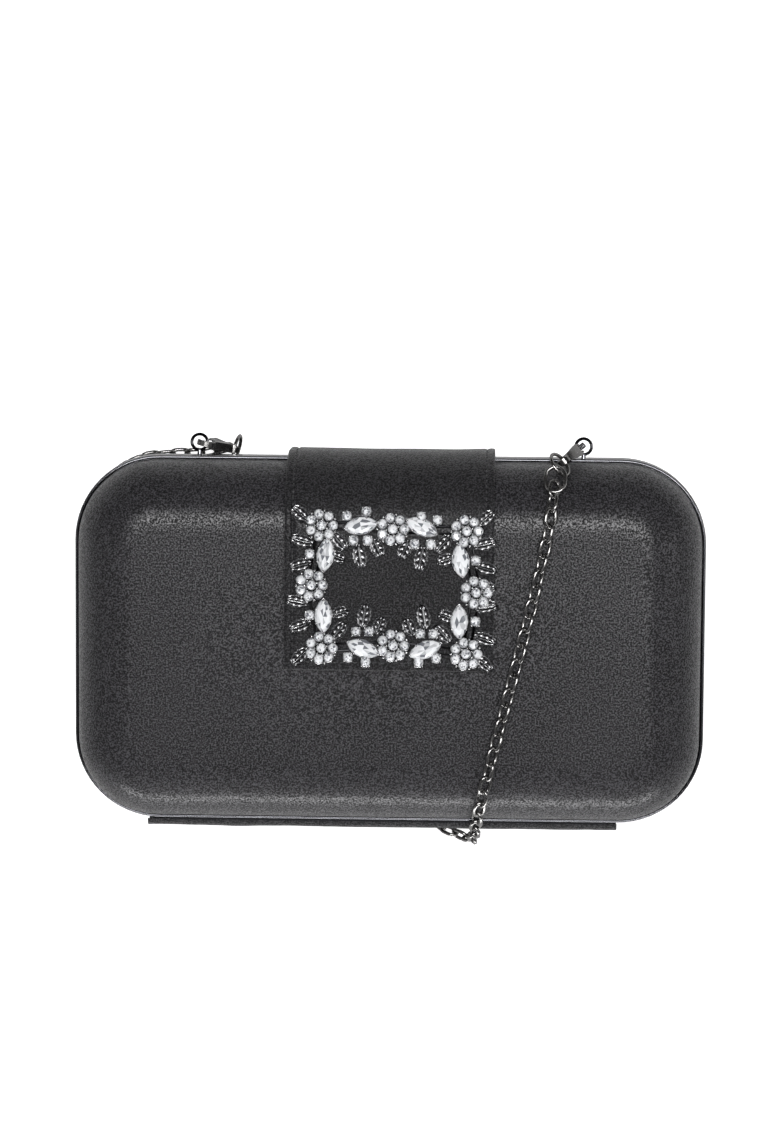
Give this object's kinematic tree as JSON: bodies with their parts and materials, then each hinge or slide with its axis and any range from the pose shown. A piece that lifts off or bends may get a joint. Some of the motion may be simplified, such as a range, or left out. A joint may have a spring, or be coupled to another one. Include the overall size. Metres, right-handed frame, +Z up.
{
  "type": "evening bag",
  "caption": "Satin box clutch lying on its back: two padded shells in polished frames, hinged along one long side, with a jewelled magnetic flap and a clip-on chain.",
  "frame": {"origin": "middle of the flat back face, on which the bag lies", "axes": "+X to the right seen from the front, +Y towards the edge that the flap comes over, +Z up out of the front face"},
  "size_m": [0.2012, 0.1317, 0.0554],
  "materials": {
    "satin": "fine charcoal satin",
    "lining": "black satin lining",
    "core": "moulded shell, hidden",
    "foam": "thin foam padding, hidden",
    "board": "stiffener, hidden",
    "magnet": "plated magnet",
    "black_nickel": "polished black nickel",
    "steel": "polished steel",
    "gunmetal": "polished gunmetal",
    "casting": "darkened engraved casting",
    "crystal": "foil-backed faceted glass"
  },
  "bodies": {
    "back_half": {"back_frame": "black_nickel", "back_core": "core", "back_padding": "foam", "back_cover": "satin", "back_lining": "lining", "hinge_leaf_back": "black_nickel", "hinge_pin": "steel", "hinge_strip": "satin", "flap_tail": "satin", "eyelet_left": "black_nickel", "clasp_left_body": "gunmetal", "clasp_left_pin": "steel", "clasp_left_ring": "gunmetal", "chain_under_run": "gunmetal"},
    "front_half": {"front_frame": "black_nickel", "front_core": "core", "front_padding": "foam", "front_cover": "satin", "front_lining": "lining", "front_magnet": "magnet", "hinge_leaf_front": "black_nickel", "eyelet_right": "black_nickel", "clasp_right_body": "gunmetal", "clasp_right_pin": "steel", "clasp_right_ring": "gunmetal", "chain_front_run": "gunmetal"},
    "flap": {"flap_face": "satin", "flap_board": "board", "flap_under": "lining", "flap_magnet": "magnet", "brooch_casting": "casting", "brooch_chatons": "crystal", "flower_1": "crystal", "flower_2": "crystal", "flower_3": "crystal", "flower_4": "crystal", "flower_5": "crystal", "flower_6": "crystal", "flower_7": "crystal", "flower_8": "crystal", "navette_1": "crystal", "navette_2": "crystal", "navette_3": "crystal", "navette_4": "crystal", "navette_5": "crystal", "navette_6": "crystal", "navette_7": "crystal", "navette_8": "crystal"},
    "gate_left": {"clasp_left_gate": "steel"},
    "gate_right": {"clasp_right_gate": "steel"}
  },
  "joints": [
    {"name": "lid_hinge", "type": "hinge", "parent": "back_half", "child": "front_half", "pos_m": [0, -0.0594, 0.025], "axis": [1, 0, 0], "range_deg": [0, 42]},
    {"name": "flap_hinge", "type": "hinge", "parent": "back_half", "child": "flap", "pos_m": [0, 0.0607, 0.025], "axis": [-1, 0, 0], "range_deg": [0, 160]},
    {"name": "gate_right_hinge", "type": "hinge", "parent": "front_half", "child": "gate_right", "pos_m": [0.05891, 0.06104, 0.03361], "axis": [-0.6196, 0.7837, -0.0436], "range_deg": [0, 12], "stiffness_Nm_per_rad": 0.0005, "springref_deg": -17.19},
    {"name": "gate_left_hinge", "type": "hinge", "parent": "back_half", "child": "gate_left", "pos_m": [-0.05711, 0.06085, 0.01677], "axis": [0.2419, 0.9703, 0], "range_deg": [0, 12], "stiffness_Nm_per_rad": 0.0005, "springref_deg": -17.19}
  ],
  "couplings": [
    {"joint": "flap_hinge", "follows": "lid_hinge", "ratio": 3.8}
  ]
}
